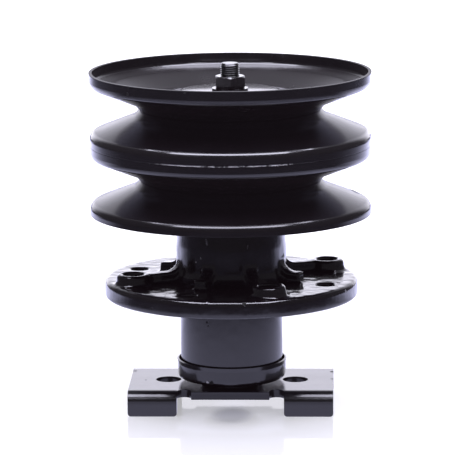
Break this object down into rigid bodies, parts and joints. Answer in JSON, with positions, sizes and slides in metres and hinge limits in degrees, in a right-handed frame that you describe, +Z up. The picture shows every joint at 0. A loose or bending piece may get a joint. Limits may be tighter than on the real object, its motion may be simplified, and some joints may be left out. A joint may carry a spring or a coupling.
{
  "type": "mower blade spindle",
  "caption": "Mower blade spindle: flanged cast housing on ball bearings, pressed double V-belt pulley on top, folded blade adapter below.",
  "frame": {"origin": "on the spindle's axis, in the plane of the blade adapter's feet", "axes": "+Z up the spindle towards the nut, +X along the blade adapter's long side, +Y away from the camera"},
  "size_m": [0.1396, 0.1396, 0.1724],
  "materials": {
    "black_paint": "gloss black",
    "turned_steel": "turned",
    "bearing_steel": "ground",
    "seal_rubber": "matt",
    "cage_plastic": "moulded"
  },
  "bodies": {
    "housing": {"spindle_housing": "black_paint", "upper_outer_ring": "bearing_steel", "upper_top_seal": "seal_rubber", "upper_bottom_seal": "seal_rubber", "lower_outer_ring": "bearing_steel", "lower_top_seal": "seal_rubber", "lower_bottom_seal": "seal_rubber"},
    "rotor": {"spindle_shaft": "turned_steel", "adapter_collar": "black_paint", "blade_adapter": "black_paint", "dust_cup": "black_paint", "bearing_spacer": "turned_steel", "pulley_hub": "turned_steel", "upper_sheave_top_disc": "black_paint", "upper_sheave_bottom_disc": "black_paint", "lower_sheave_top_disc": "black_paint", "lower_sheave_bottom_disc": "black_paint", "washer": "black_paint", "top_nut": "black_paint", "upper_inner_ring": "bearing_steel", "lower_inner_ring": "bearing_steel"},
    "upper_ball_set": {"upper_balls": "bearing_steel", "upper_cage": "cage_plastic"},
    "lower_ball_set": {"lower_balls": "bearing_steel", "lower_cage": "cage_plastic"}
  },
  "joints": [
    {"name": "spindle_spin", "type": "hinge", "parent": "housing", "child": "rotor", "pos_m": [0, 0, 0.1], "axis": [0, 0, 1], "continuous": true},
    {"name": "upper_balls_spin", "type": "hinge", "parent": "housing", "child": "upper_ball_set", "pos_m": [0, 0, 0.1031], "axis": [0, 0, 1], "continuous": true},
    {"name": "lower_balls_spin", "type": "hinge", "parent": "housing", "child": "lower_ball_set", "pos_m": [0, 0, 0.0231], "axis": [0, 0, 1], "continuous": true}
  ],
  "couplings": [
    {"joint": "upper_balls_spin", "follows": "spindle_spin", "ratio": 0.3816},
    {"joint": "lower_balls_spin", "follows": "spindle_spin", "ratio": 0.3816}
  ]
}
